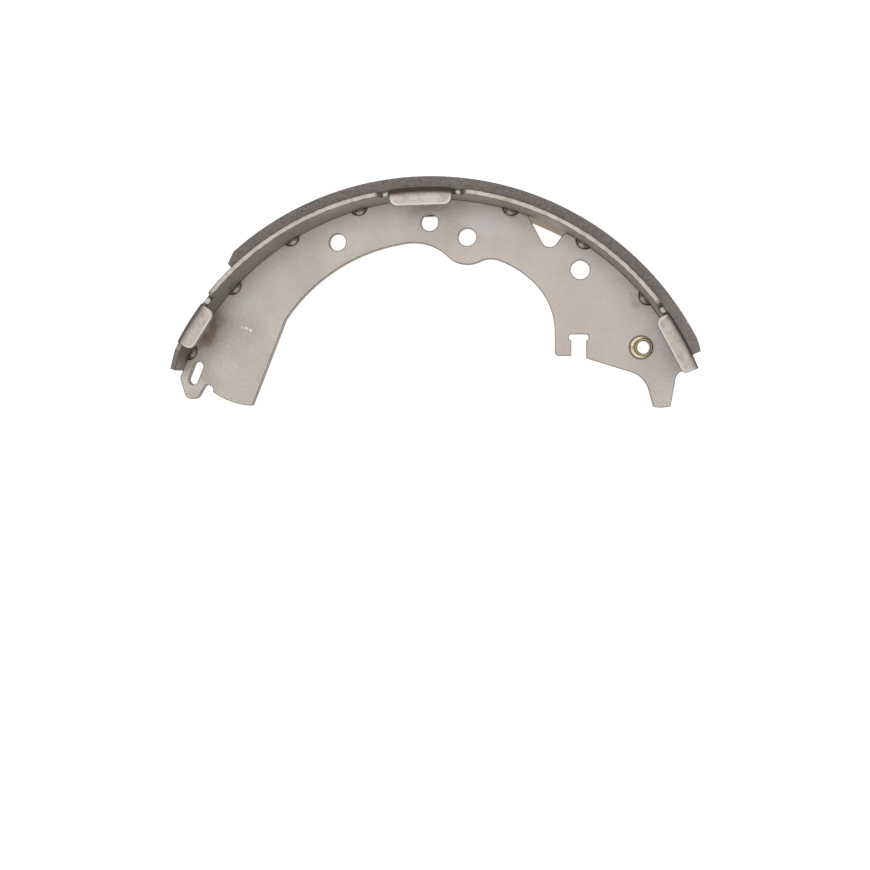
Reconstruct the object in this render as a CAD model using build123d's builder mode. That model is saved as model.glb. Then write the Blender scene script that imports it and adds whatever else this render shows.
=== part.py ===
from build123d import *
from math import cos, degrees, radians, sin, sqrt
import os

# Drum brake shoe with a T section: a curved table, a flat web welded to it on edge, and a bonded lining.
# Millimetres. The shoe is drawn about the drum's axis, in the web's middle plane, and moved at the end so
# that the origin is the centre of the hold-down hole. +Y points to the middle of the table and +Z along the
# drum's axis, to the side whose tabs slide on the backing plate.
# Angles are in degrees about the drum's axis, from +Y, positive towards +X. The toe is at the -X end and
# the heel at the +X end. Depths in the web are measured inboard from the table's inner face.

# Drum and lining
drum_radius = 127.0
lining_thickness = 4.7
lining_width = 50.0
lining_toe_angle = -44.0
lining_heel_angle = 65.2
toe_chamfer_length = 5.4
toe_chamfer_depth = 2.2
heel_taper_length = 5.6
heel_taper_depth = 1.1
heel_taper_bulge = 0.2

# Table
table_thickness = 2.2
table_overhang = 2.0
table_toe_angle = -68.5
table_heel_angle = 68.0

# Guide tabs, bent in from the table's edge, and the reliefs beside them
tab_rise = 1.7
tab_corner_radius = 3.2
long_tab_length = 26.3
short_tab_length = 19.4
toe_tab_angle = -57.9
crown_tab_angle = -1.8
toe_tab_reach = 8.6
crown_tab_reach = 8.1
heel_tab_reach = 7.7
far_tab_reach = 6.7
close_bend_radius = 0.9
wide_bend_radius = 2.6
relief_width = 5.0
relief_depth = 5.2
relief_corner_radius = 2.0
strip_end_radius = 2.4
blank_share = 1.2

# Corners cut off the table's ends
near_toe_cut_length = 9.0
near_toe_cut_height = 6.0
far_toe_cut_length = 12.0
far_toe_cut_height = 14.0
far_heel_cut_length = 6.5
far_heel_cut_height = 8.0

# Web and its inner edge, a chain of tangent arcs
web_thickness = 4.5
crown_depth = 18.7
hub_arc_radius = 77.7
hub_arc_offset = -1.2
hub_arc_start_angle = -56.3
crown_arc_radius = 21.7
boss_radius = 12.1
dip_arc_radius = 10.5
shoulder_arc_radius = 44.6
shoulder_arc_overrun = 4.3
shoulder_crest_depth = 24.2
flank_arc_radius = 30.9

# Holes in the web
hole_depth = 10.4
toe_spring_angle = -22.9
toe_spring_diameter = 7.6
gauge_hole_angle = -1.0
gauge_hole_diameter = 7.6
heel_spring_angle = 35.9
heel_spring_diameter = 8.5
hold_down_angle = 8.1
hold_down_depth = 15.8
hold_down_diameter = 8.0

# Window at the web's outer edge, open to the table
window_toe_angle = 20.1
window_heel_angle = 28.6
window_apex_angle = 28.0
window_apex_depth = 12.4
window_apex_radius = 3.8
window_lip_radius = 2.5
window_overrun = 1.5

# Strut notch with an ear at each side, and the lug beside it
strut_notch_offset = 63.8
strut_notch_width = 6.6
strut_notch_depth = 9.5
strut_ear_width = 8.6
strut_ear_height = 2.8
strut_ear_radius = 1.1
lug_width = 7.2
lug_depth = 69.0
lug_corner_radius = 1.8

# Hook at the toe, with lengths beyond the table's end
hook_shoulder_length = 3.5
hook_shoulder_radius = 4.0
hook_outer_length = 10.8
hook_outer_depth = 6.0
hook_outer_radius = 3.0
hook_inner_length = 9.6
hook_inner_depth = 10.7
hook_inner_radius = 3.0
hook_root_depth = 11.5
hook_notch_width = 4.6
hook_notch_length = 2.2
toe_edge_length = 3.7
toe_edge_bulge = 1.4
toe_corner_length = 2.9
toe_corner_depth = 34.7
toe_corner_radius = 0.6
toe_slot_width = 4.4
toe_slot_travel = 6.3
toe_slot_depth = 5.9
toe_slot_setback = 1.2

# Tip at the heel, in the same measures
tip_root_setback = 4.5
tip_root_depth = 18.4
tip_root_radius = 11.0
tip_inner_length = 9.3
tip_inner_depth = 19.9
tip_outer_length = 11.8
tip_outer_depth = 13.0
tip_corner_radius = 0.9
tip_bulge = 0.4
tip_flare_setback = 1.3
tip_flare_depth = 4.9
tip_flare_radius = 4.5

# Welds between the web and the table
weld_angles = [-64.2, -47.6, -31.7, -16.0, 0.2, 16.3, 33.1, 50.5]
weld_notch_radius = 4.1
weld_notch_depth = 2.5
weld_seat_depth = 0.4
weld_bead_rise = 0.7
weld_bead_taper = 40.0
weld_root_gap = 0.2

# Pivot bush for the parking lever
bush_angle = 59.15
bush_depth = 13.1
bush_bore_diameter = 5.6
bush_body_diameter = 8.0
bush_fit = 0.02
bush_collar_diameter = 10.4
bush_collar_offset = 1.1
bush_collar_height = 0.9
bush_collar_edge = 0.3
bush_mouth_height = 2.4
bush_mouth_rounding = 0.3
bush_foot_diameter = 9.4
bush_foot_height = 0.7
bush_lead_in = 0.25

# Worked out from the sizes above
table_outer_radius = drum_radius - lining_thickness
table_inner_radius = table_outer_radius - table_thickness
strip_height = lining_width / 2 + table_overhang
tab_height = strip_height + tab_rise
relief_floor = strip_height - relief_depth
wall_cut = 3 * table_thickness
inside_table = table_inner_radius - wall_cut
outside_table = table_outer_radius + wall_cut


def polar(radius, angle):
    """The point at this radius and angle about the drum's axis."""
    return Vector(radius * sin(radians(angle)), radius * cos(radians(angle)))


def inboard(depth, angle):
    """The point this far inboard from the table's inner face."""
    return polar(table_inner_radius - depth, angle)


def at_toe(length, depth):
    """The point this far beyond the table's toe end and this far inboard."""
    return inboard(depth, table_toe_angle) + polar(length, table_toe_angle - 90)


def at_heel(length, depth):
    """The point this far beyond the table's heel end and this far inboard."""
    return inboard(depth, table_heel_angle) + polar(length, table_heel_angle + 90)


def angle_of(length):
    """The angle that this length takes up along the table's outer face."""
    return degrees(length / table_outer_radius)


def radial_plane(angle):
    """The plane through the drum's axis at this angle. Its own x is the radius and its own y is along +Z."""
    outward = polar(1, angle)
    return Plane(origin=(0, 0, 0), x_dir=outward, z_dir=outward.cross(Vector(0, 0, 1)))


def tangent_plane(angle):
    """The plane that touches the table's outer face here. Its own x points to the toe and its y along +Z."""
    outward = polar(1, angle)
    return Plane(origin=polar(table_outer_radius, angle), x_dir=polar(1, angle - 90), z_dir=outward)


def towards(centre, point, radius):
    """The point at this radius from the centre, on the way to the other point."""
    return centre + (point - centre).normalized() * radius


def blend_centre(first_centre, first_reach, second_centre, second_reach):
    """Where circles of these reaches cross, on the left of the way from the first centre to the second."""
    span = second_centre - first_centre
    along = (first_reach**2 - second_reach**2 + span.length**2) / (2 * span.length)
    aside = sqrt(first_reach**2 - along**2)
    direction = span.normalized()
    return first_centre + direction * along + Vector(-direction.Y, direction.X) * aside


def short_arc(centre, radius, start, end):
    """The shorter arc about the centre, from start to end."""
    return ThreePointArc(start, towards(centre, (start + end) / 2, radius), end)


def ring_sector(inner_radius, outer_radius, toe_angle, heel_angle):
    """A face between two radii and two angles."""
    middle_angle = (toe_angle + heel_angle) / 2
    outer_toe = polar(outer_radius, toe_angle)
    outer_heel = polar(outer_radius, heel_angle)
    inner_toe = polar(inner_radius, toe_angle)
    inner_heel = polar(inner_radius, heel_angle)
    with BuildSketch() as sector:
        with BuildLine():
            ThreePointArc(outer_toe, polar(outer_radius, middle_angle), outer_heel)
            Line(outer_heel, inner_heel)
            ThreePointArc(inner_heel, polar(inner_radius, middle_angle), inner_toe)
            Line(inner_toe, outer_toe)
        make_face()
    return sector.sketch


def corner_at(profile, point):
    """The profile's corner nearest to the point."""
    return profile.vertices().sort_by_distance(point)[0]


def bent_tab(angle, length, reach, bend_radius):
    """A guide tab and the wall under it, bent inwards, with a straight free edge and round corners."""
    outer_bend = bend_radius + table_thickness
    free_radius = table_outer_radius - reach
    blank_angle = blank_share * angle_of(length)
    blank_radius = free_radius - table_thickness
    with BuildPart() as tab:
        with BuildSketch(radial_plane(angle + blank_angle / 2)):
            with BuildLine():
                wall = Polyline(
                    (table_inner_radius, tab_height - outer_bend),
                    (table_inner_radius, relief_floor),
                    (table_outer_radius, relief_floor),
                    (table_outer_radius, tab_height - outer_bend),
                )
                bend_outside = TangentArc(
                    wall @ 1, (table_outer_radius - outer_bend, tab_height), tangent=(0, 1)
                )
                flat = Polyline(
                    bend_outside @ 1,
                    (blank_radius, tab_height),
                    (blank_radius, tab_height - table_thickness),
                    (table_inner_radius - bend_radius, tab_height - table_thickness),
                )
                TangentArc(flat @ 1, wall @ 0, tangent=(1, 0))
            make_face()
        revolve(axis=Axis.Z, revolution_arc=blank_angle)
        outline_plane = Plane(origin=polar(free_radius, angle), x_dir=polar(1, angle + 90), z_dir=(0, 0, 1))
        with BuildSketch(outline_plane) as outline:
            Rectangle(length, 2 * reach, align=(Align.CENTER, Align.MIN))
            fillet(outline.vertices().group_by(Axis.Y)[0], tab_corner_radius)
        extrude(amount=tab_height, mode=Mode.INTERSECT)
    return tab.part


def edges_across(part, height):
    """The straight edges that run through the table's thickness at this height."""
    level = part.edges().filter_by_position(Axis.Z, height, height, (True, True))
    return level.filter_by(GeomType.LINE)


# Tabs of the table. The heel tab ends where the table ends.
half_long = angle_of(long_tab_length / 2)
half_short = angle_of(short_tab_length / 2)
relief_angle = angle_of(relief_width)
heel_tab_angle = table_heel_angle - half_long
near_toe_tab = bent_tab(toe_tab_angle, short_tab_length, toe_tab_reach, wide_bend_radius)
near_crown_tab = bent_tab(crown_tab_angle, long_tab_length, crown_tab_reach, close_bend_radius)
near_heel_tab = bent_tab(heel_tab_angle, long_tab_length, heel_tab_reach, close_bend_radius)
far_crown_tab = bent_tab(crown_tab_angle, long_tab_length, far_tab_reach, close_bend_radius)

# Reliefs in the table's edges: the side, and the angles where each starts and ends
crown_relief_start = crown_tab_angle - half_long - relief_angle
crown_relief_end = crown_tab_angle + half_long + relief_angle
reliefs = [
    (1, table_toe_angle - relief_angle, toe_tab_angle + half_short + relief_angle),
    (1, crown_relief_start, crown_relief_end),
    (1, heel_tab_angle - half_long - relief_angle, table_heel_angle + relief_angle),
    (-1, crown_relief_start, crown_relief_end),
]

# Corner cuts: the end, the side beyond it, the length and height cut off, and the level of the corner
end_cuts = [
    (table_toe_angle, wall_cut, near_toe_cut_length, near_toe_cut_height, relief_floor),
    (table_toe_angle, wall_cut, far_toe_cut_length, far_toe_cut_height, -strip_height),
    (table_heel_angle, -wall_cut, far_heel_cut_length, far_heel_cut_height, -strip_height),
]

# The plane of the table's heel end, facing out of the part
heel_end = Plane(origin=(0, 0, 0), x_dir=(0, 0, 1), z_dir=polar(1, table_heel_angle + 90))

# Table: one pressing, with its reliefs, cut corners and bent tabs
with BuildPart() as table:
    with BuildSketch():
        add(ring_sector(table_inner_radius, table_outer_radius, table_toe_angle, table_heel_angle))
    extrude(amount=strip_height, both=True)
    for side, relief_start, relief_end in reliefs:
        with BuildSketch(Plane.XY.offset(side * relief_floor)):
            add(ring_sector(inside_table, outside_table, relief_start, relief_end))
        extrude(amount=side * tab_height, mode=Mode.SUBTRACT)
    near_corners = edges_across(table, relief_floor).sort_by(Axis.X)[1:-1]
    fillet(near_corners + edges_across(table, -relief_floor), relief_corner_radius)
    fillet(edges_across(table, strip_height), strip_end_radius)
    far_ends = edges_across(table, -strip_height)
    fillet(far_ends.sort_by_distance((0, table_outer_radius, -strip_height))[0:2], strip_end_radius)
    for end_angle, beyond, cut_length, cut_height, corner_level in end_cuts:
        cut_side = corner_level / abs(corner_level)
        with BuildSketch(tangent_plane(end_angle)):
            Polygon(
                (0, corner_level - cut_side * cut_height),
                (beyond, corner_level - cut_side * cut_height),
                (beyond, cut_side * tab_height),
                (-beyond / wall_cut * cut_length, cut_side * tab_height),
                (-beyond / wall_cut * cut_length, corner_level),
            )
        extrude(amount=wall_cut, both=True, mode=Mode.SUBTRACT)
    add([near_toe_tab, near_crown_tab, near_heel_tab])
    split(bisect_by=heel_end, keep=Keep.BOTTOM)
    mirror(far_crown_tab, about=Plane.XY)

# Centres of the arcs along the web's inner edge
hub_centre = Vector(hub_arc_offset, table_inner_radius - crown_depth - hub_arc_radius)
boss_centre = inboard(hold_down_depth, hold_down_angle)
lug_side = strut_notch_offset - strut_notch_width / 2 - lug_width
shoulder_centre = Vector(
    lug_side + shoulder_arc_overrun - shoulder_arc_radius,
    table_inner_radius - shoulder_crest_depth - shoulder_arc_radius,
)
crown_centre = blend_centre(
    hub_centre, hub_arc_radius - crown_arc_radius, boss_centre, boss_radius + crown_arc_radius
)
dip_centre = blend_centre(
    boss_centre, boss_radius + dip_arc_radius, shoulder_centre, shoulder_arc_radius - dip_arc_radius
)
flank_offset = lug_side - flank_arc_radius
flank_rise = sqrt((shoulder_arc_radius - flank_arc_radius) ** 2 - (flank_offset - shoulder_centre.X) ** 2)
flank_centre = Vector(flank_offset, shoulder_centre.Y + flank_rise)

# Points where those arcs meet
hub_start = hub_centre + polar(hub_arc_radius, hub_arc_start_angle)
hub_end = towards(hub_centre, crown_centre, hub_arc_radius)
boss_start = towards(boss_centre, crown_centre, boss_radius)
boss_end = towards(boss_centre, dip_centre, boss_radius)
shoulder_start = towards(shoulder_centre, dip_centre, shoulder_arc_radius)
shoulder_end = towards(shoulder_centre, flank_centre, shoulder_arc_radius)
flank_end = flank_centre + Vector(flank_arc_radius, 0)

# Corners of the web's outline
lug_corner = Vector(lug_side, table_inner_radius - lug_depth)
notch_mouth = Vector(strut_notch_offset, lug_corner.Y)
tip_root = at_heel(-tip_root_setback, tip_root_depth)
tip_inner = at_heel(tip_inner_length, tip_inner_depth)
tip_outer = at_heel(tip_outer_length, tip_outer_depth)
tip_flare = at_heel(-tip_flare_setback, tip_flare_depth)
hook_shoulder = at_toe(hook_shoulder_length, 0)
hook_outer = at_toe(hook_outer_length, hook_outer_depth)
hook_inner = at_toe(hook_inner_length, hook_inner_depth)
hook_root = at_toe(toe_edge_length, hook_root_depth)
hook_notch_floor = at_toe(toe_edge_length - hook_notch_length, hook_root_depth + hook_notch_width / 2)
toe_edge_start = at_toe(toe_edge_length, hook_root_depth + hook_notch_width)
toe_corner = at_toe(toe_corner_length, toe_corner_depth)

# Holes, window and weld notches
bush_centre = inboard(bush_depth, bush_angle)
bush_hole_diameter = bush_body_diameter + 2 * bush_fit
round_holes = [
    (inboard(hole_depth, toe_spring_angle), toe_spring_diameter),
    (inboard(hole_depth, gauge_hole_angle), gauge_hole_diameter),
    (inboard(hole_depth, heel_spring_angle), heel_spring_diameter),
    (boss_centre, hold_down_diameter),
    (bush_centre, bush_hole_diameter),
]
window_apex = inboard(window_apex_depth, window_apex_angle)
window_toe = inboard(0, window_toe_angle)
window_heel = inboard(0, window_heel_angle)
weld_notch_centres = [inboard(weld_notch_depth - weld_notch_radius, angle) for angle in weld_angles]

# Web: one flat pressing, on edge against the table's inner face
with BuildPart() as web:
    with BuildSketch() as web_profile:
        with BuildLine():
            Polyline(at_toe(0, 0), hook_shoulder, hook_outer, hook_inner, hook_root)
            ThreePointArc(hook_root, hook_notch_floor, toe_edge_start)
            SagittaArc(toe_edge_start, toe_corner, -toe_edge_bulge)
            Line(toe_corner, hub_start)
            short_arc(hub_centre, hub_arc_radius, hub_start, hub_end)
            short_arc(crown_centre, crown_arc_radius, hub_end, boss_start)
            short_arc(boss_centre, boss_radius, boss_start, boss_end)
            short_arc(dip_centre, dip_arc_radius, boss_end, shoulder_start)
            short_arc(shoulder_centre, shoulder_arc_radius, shoulder_start, shoulder_end)
            short_arc(flank_centre, flank_arc_radius, shoulder_end, flank_end)
            Polyline(flank_end, lug_corner, notch_mouth, tip_root, tip_inner)
            SagittaArc(tip_inner, tip_outer, -tip_bulge)
            Polyline(tip_outer, tip_flare, at_heel(0, 0))
            short_arc(Vector(0, 0), table_inner_radius, at_heel(0, 0), at_toe(0, 0))
        make_face()
        for corner, corner_radius in (
            (hook_shoulder, hook_shoulder_radius),
            (hook_outer, hook_outer_radius),
            (hook_inner, hook_inner_radius),
            (toe_corner, toe_corner_radius),
            (lug_corner, lug_corner_radius),
            (tip_root, tip_root_radius),
            (tip_inner, tip_corner_radius),
            (tip_outer, tip_corner_radius),
            (tip_flare, tip_flare_radius),
        ):
            fillet(corner_at(web_profile, corner), corner_radius)
        for hole_centre, hole_diameter in round_holes:
            with Locations(hole_centre):
                Circle(hole_diameter / 2, mode=Mode.SUBTRACT)
        with Locations(at_toe(-toe_slot_setback, toe_slot_depth)):
            SlotCenterToCenter(toe_slot_travel, toe_slot_width, -table_toe_angle, mode=Mode.SUBTRACT)
        Polygon(
            window_apex,
            window_apex + (window_toe - window_apex) * window_overrun,
            window_apex + (window_heel - window_apex) * window_overrun,
            mode=Mode.SUBTRACT,
        )
        fillet(corner_at(web_profile, window_apex), window_apex_radius)
        fillet(corner_at(web_profile, window_heel), window_lip_radius)
        with Locations(notch_mouth):
            Rectangle(strut_notch_width, 2 * strut_notch_depth, mode=Mode.SUBTRACT)
        with Locations(notch_mouth + Vector(0, strut_notch_depth - strut_ear_height / 2)):
            RectangleRounded(strut_ear_width, strut_ear_height, strut_ear_radius, mode=Mode.SUBTRACT)
        with Locations(*weld_notch_centres):
            Circle(weld_notch_radius, mode=Mode.SUBTRACT)
    extrude(amount=web_thickness / 2, both=True)

# Weld beads: a nugget in each notch, seated on the table and standing out a little on both faces of the web
weld_bead_radius = (weld_notch_depth - weld_root_gap + weld_seat_depth) / 2
weld_bead_depth = weld_bead_radius - weld_seat_depth
with BuildPart() as weld_beads:
    with BuildSketch():
        with Locations(*[inboard(weld_bead_depth, angle) for angle in weld_angles]):
            Circle(weld_bead_radius)
        Circle(table_inner_radius, mode=Mode.INTERSECT)
    extrude(amount=web_thickness / 2, both=True)
    flat_faces = weld_beads.faces().filter_by(Axis.Z)
    extrude(flat_faces, amount=weld_bead_rise, taper=weld_bead_taper)

# Pivot bush: a tube with a collar, pressed through the web and peened over at its foot. Its collar was
# pressed out to one side.
web_face = web_thickness / 2
bush_foot = -web_face - bush_foot_height
bush_mouth = web_face + bush_mouth_height
collar_centre = bush_centre - Vector(bush_collar_offset, 0)
with BuildPart() as pivot_bush:
    with BuildSketch(Plane.XY.offset(web_face)):
        with Locations(collar_centre):
            Circle(bush_collar_diameter / 2)
    extrude(amount=bush_collar_height)
    fillet(pivot_bush.edges().group_by(Axis.Z)[-1], bush_collar_edge)
    with BuildSketch(Plane.XY.offset(bush_foot)):
        with Locations(bush_centre):
            Circle(bush_foot_diameter / 2)
    extrude(amount=bush_foot_height)
    with BuildSketch(Plane.XY.offset(bush_foot)):
        with Locations(bush_centre):
            Circle(bush_body_diameter / 2)
    extrude(amount=bush_mouth - bush_foot)
    fillet(pivot_bush.edges().group_by(Axis.Z)[-1], bush_mouth_rounding)
    with BuildSketch(Plane.XY.offset(bush_foot)):
        with Locations(bush_centre):
            Circle(bush_bore_diameter / 2)
    extrude(amount=bush_mouth - bush_foot, mode=Mode.SUBTRACT)
    bore_wall = pivot_bush.faces().filter_by(GeomType.CYLINDER).sort_by(SortBy.RADIUS)[0]
    chamfer(bore_wall.edges().filter_by(GeomType.CIRCLE), bush_lead_in)

# Lining: one moulded block, chamfered at the toe and ground away towards the heel
taper_start = polar(drum_radius, lining_heel_angle - degrees(heel_taper_length / drum_radius))
taper_end = polar(drum_radius - heel_taper_depth, lining_heel_angle)
chamfer_start = polar(drum_radius - toe_chamfer_depth, lining_toe_angle)
chamfer_end = polar(drum_radius, lining_toe_angle + degrees(toe_chamfer_length / drum_radius))
with BuildPart() as lining:
    with BuildSketch():
        with BuildLine():
            short_arc(Vector(0, 0), drum_radius, chamfer_end, taper_start)
            SagittaArc(taper_start, taper_end, heel_taper_bulge)
            Line(taper_end, polar(table_outer_radius, lining_heel_angle))
            short_arc(
                Vector(0, 0),
                table_outer_radius,
                polar(table_outer_radius, lining_heel_angle),
                polar(table_outer_radius, lining_toe_angle),
            )
            Polyline(polar(table_outer_radius, lining_toe_angle), chamfer_start, chamfer_end)
        make_face()
    extrude(amount=lining_width / 2, both=True)

pieces = {
    "table": table,
    "web": web,
    "lining": lining,
    "pivot_bush": pivot_bush,
    "weld_beads": weld_beads,
}
to_hold_down_hole = Location(-boss_centre)
os.makedirs("parts", exist_ok=True)
for name, piece in pieces.items():
    placed = piece.part.moved(to_hold_down_hole)
    placed.label = name
    export_step(placed, f"parts/{name}.step")
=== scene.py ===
import math

import bpy
from bpy.props import FloatProperty, FloatVectorProperty, PointerProperty
from mathutils import Matrix, Vector


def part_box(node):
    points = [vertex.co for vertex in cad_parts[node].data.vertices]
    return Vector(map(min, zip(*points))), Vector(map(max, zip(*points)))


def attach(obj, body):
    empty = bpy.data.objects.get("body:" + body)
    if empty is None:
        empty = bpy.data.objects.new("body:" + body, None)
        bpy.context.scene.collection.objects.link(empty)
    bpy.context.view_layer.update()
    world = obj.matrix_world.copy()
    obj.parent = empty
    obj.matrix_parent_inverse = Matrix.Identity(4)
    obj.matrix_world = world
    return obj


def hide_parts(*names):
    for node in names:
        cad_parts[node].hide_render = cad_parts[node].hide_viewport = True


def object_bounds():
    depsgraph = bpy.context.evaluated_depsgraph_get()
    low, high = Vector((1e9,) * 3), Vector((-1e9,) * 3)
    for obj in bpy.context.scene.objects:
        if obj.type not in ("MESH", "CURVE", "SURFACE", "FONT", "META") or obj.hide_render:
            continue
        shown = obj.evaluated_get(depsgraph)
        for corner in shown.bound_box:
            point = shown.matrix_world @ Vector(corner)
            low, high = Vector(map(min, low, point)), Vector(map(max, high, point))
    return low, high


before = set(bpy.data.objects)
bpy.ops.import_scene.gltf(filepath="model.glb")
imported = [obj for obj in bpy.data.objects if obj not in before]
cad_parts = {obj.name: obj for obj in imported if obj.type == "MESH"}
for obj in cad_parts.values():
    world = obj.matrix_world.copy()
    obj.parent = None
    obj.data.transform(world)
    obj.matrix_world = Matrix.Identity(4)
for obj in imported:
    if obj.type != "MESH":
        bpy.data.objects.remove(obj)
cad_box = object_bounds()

# Looks of a drum brake shoe that lies with its web level, seen from above. Lengths are in metres, in the
# frame of the solids. Its origin is the centre of the hold-down hole, in the web's middle plane, and its +Z
# points at the camera.

bl_info = {
    "name": "Brake shoe looks",
    "version": (1, 0, 0),
    "blender": (4, 5, 0),
    "location": "3D View > Sidebar > Brake shoe",
    "description": "Finishes, weld nuggets, bush and studio for a drum brake shoe",
    "category": "Object",
}

# Places and sizes on the shoe. Angles about the drum's axis are in degrees from +Y, positive towards +X.
# Each weld's middle lies its depth inside the table's inner face, and its notch's centre beyond that face.
DRUM_AXIS = Vector((-0.0146960, -0.1032595, 0))
TABLE_INNER_RADIUS = 0.1201
TABLE_OUTER_RADIUS = 0.1223
WEB_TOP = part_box("web")[1].z
LINING_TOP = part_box("lining")[1].z
TAB_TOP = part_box("table")[1].z
TOE_TAB, CROWN_TAB, HEEL_TAB, HEEL_TAB_END = -57.9, -1.8, 61.5, 68.8
TOE_CORNER, TOE_WALL, WINDOW, HEEL = -64, -50, 24.5, 62
RELIEF_FLOOR = 0.0218
RELIEF_ANGLES = (-52.4, -9.3, 5.8, 54.5)
WELD_ANGLES = (-64.2, -47.6, -31.7, -16.0, 0.2, 16.3, 33.1, 50.5)
WELD_DEPTH = 0.0011
NOTCH_RADIUS = 0.0041
NOTCH_OFFSET = 0.0016

# The camera, with its turn in degrees and its shift in shares of the frame, and the light overhead
CAMERA_PLACE = (0.0367, -0.06173, 0.64056)
CAMERA_TURN = (0.53673, 3.50896, 0.21475)
CAMERA_SHIFT = (-0.03, -0.0816)
SENSOR_WIDTH = 36
SOFTBOX_PLACE = (-0.06, 0.06, 1.1)
SOFTBOX_SIZE = 0.7
WHITE = (1, 1, 1, 1)


def linear(code):
    """The linear colour of an sRGB hex value, with full opacity."""
    shares = [int(code[place : place + 2], 16) / 255 for place in (1, 3, 5)]
    return tuple(s / 12.92 if s <= 0.04045 else ((s + 0.055) / 1.055) ** 2.4 for s in shares) + (1.0,)


def colour_property(name, description, code):
    """A colour that a user can change, with its default given as an sRGB hex value."""
    return FloatVectorProperty(
        name=name, description=description, subtype="COLOR", size=4, min=0, max=1, default=linear(code)
    )


def length_property(name, description, metres):
    """A length that a user can change."""
    return FloatProperty(
        name=name, description=description, unit="LENGTH", min=0, precision=5, default=metres
    )


def around_drum(radius, angle, height=0.0):
    """The point at this radius and angle about the drum's axis, from +Y and positive towards +X."""
    turn = math.radians(angle)
    return DRUM_AXIS + Vector((radius * math.sin(turn), radius * math.cos(turn), height))


def add_node(tree, kind, values):
    """Adds a node. A value that is a socket is linked, and any other is set on a socket or on the node.

    Input sockets are named or numbered: a Map Range has its two ranges in 1 to 4, and a Mix of colours has
    its factor in 0 and its colours in 6 and 7.
    """
    node = tree.nodes.new(kind)
    own = [key for key in values if isinstance(key, str) and key not in node.inputs]
    for key in own:
        setattr(node, key, values[key])
    for key, value in values.items():
        if isinstance(value, bpy.types.NodeSocket):
            tree.links.new(value, node.inputs[key])
        elif key not in own:
            node.inputs[key].default_value = value
    return node


def start_material(name):
    """A new material with its tree, its shader and the two coordinates that the patterns read."""
    material = bpy.data.materials.new(name)
    material.use_nodes = True
    tree = material.node_tree
    tree.nodes.clear()
    shader = add_node(tree, "ShaderNodeBsdfPrincipled", {})
    add_node(tree, "ShaderNodeOutputMaterial", {"Surface": shader.outputs[0]})
    coordinates = add_node(tree, "ShaderNodeTexCoord", {})
    return material, tree, shader, coordinates.outputs["Object"], coordinates.outputs["Normal"]


def lay_over(tree, colour, layers):
    """Lays tones over a colour, one after another, each as strongly as its share and strength say."""
    for share, strength, tone in layers:
        values = {"operation": "MULTIPLY", 0: share, 1: strength}
        factor = add_node(tree, "ShaderNodeMath", values).outputs[0]
        values = {"data_type": "RGBA", 0: factor, 6: colour, 7: tone}
        colour = add_node(tree, "ShaderNodeMix", values).outputs[2]
    return colour


def shaded(tree, colour, noise, darkest, lightest):
    """The colour, made darker and lighter by a noise."""
    shade = add_node(tree, "ShaderNodeMapRange", {"Value": noise, 1: 0.3, 2: 0.7, 3: darkest, 4: lightest})
    values = {"data_type": "RGBA", "blend_type": "MULTIPLY", 0: 1.0, 6: colour, 7: shade.outputs[0]}
    return add_node(tree, "ShaderNodeMix", values).outputs[2]


def spot(tree, place, centre, stretch, turn=0, core=0.2):
    """A soft oval mark, 1 in its core and 0 at its edge. Stretch is its half sizes, and turn in degrees."""
    values = {
        "vector_type": "TEXTURE",
        "Vector": place,
        "Location": centre,
        "Rotation": (0, 0, math.radians(turn)),
        "Scale": stretch,
    }
    local = add_node(tree, "ShaderNodeMapping", values)
    away = add_node(tree, "ShaderNodeVectorMath", {"operation": "LENGTH", 0: local.outputs[0]})
    values = {"interpolation_type": "SMOOTHSTEP", "Value": away.outputs["Value"]}
    return add_node(tree, "ShaderNodeMapRange", {**values, 1: core, 2: 1.0, 3: 1.0, 4: 0.0}).outputs[0]


def edge_mask(tree, normal, width, softness=0.14):
    """1 within this width of a solid's sharp edges and 0 on its faces, and the normals that round them."""
    rounded = add_node(tree, "ShaderNodeBevel", {"samples": 8, "Radius": width}).outputs[0]
    values = {"operation": "DOT_PRODUCT", 0: rounded, 1: normal}
    turned = add_node(tree, "ShaderNodeVectorMath", values).outputs["Value"]
    values = {"Value": turned, 1: 1 - softness, 2: 0.999, 3: 1.0, 4: 0.0}
    return add_node(tree, "ShaderNodeMapRange", values).outputs[0], rounded


def near_welds(tree, place, reach):
    """1 at the welds and 0 beyond this reach from them."""
    total = None
    for angle in WELD_ANGLES:
        centre = around_drum(TABLE_INNER_RADIUS - WELD_DEPTH, angle)
        away = add_node(tree, "ShaderNodeVectorMath", {"operation": "DISTANCE", 0: place, 1: centre})
        values = {"Value": away.outputs["Value"], 1: reach * 0.45, 2: reach, 3: 1.0, 4: 0.0}
        near = add_node(tree, "ShaderNodeMapRange", values).outputs[0]
        if total is not None:
            near = add_node(tree, "ShaderNodeMath", {"operation": "MAXIMUM", 0: total, 1: near}).outputs[0]
        total = near
    return total


def finish_shader(tree, shader, colour, roughness, height, normal, depth, metallic):
    """Connects a pattern's colour, roughness and relief to its shader. Depth is the relief's, in metres."""
    values = {"Strength": 0.5, "Distance": depth, "Height": height}
    if normal is not None:
        values["Normal"] = normal
    bump = add_node(tree, "ShaderNodeBump", values)
    tree.links.new(colour, shader.inputs["Base Color"])
    tree.links.new(roughness, shader.inputs["Roughness"])
    tree.links.new(bump.outputs[0], shader.inputs["Normal"])
    shader.inputs["Metallic"].default_value = metallic


def dress(node_name, material):
    """Gives a solid of the frame its material."""
    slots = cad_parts[node_name].data.materials
    if not slots:
        slots.append(material)
    for index in range(len(slots)):
        slots[index] = material


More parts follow.
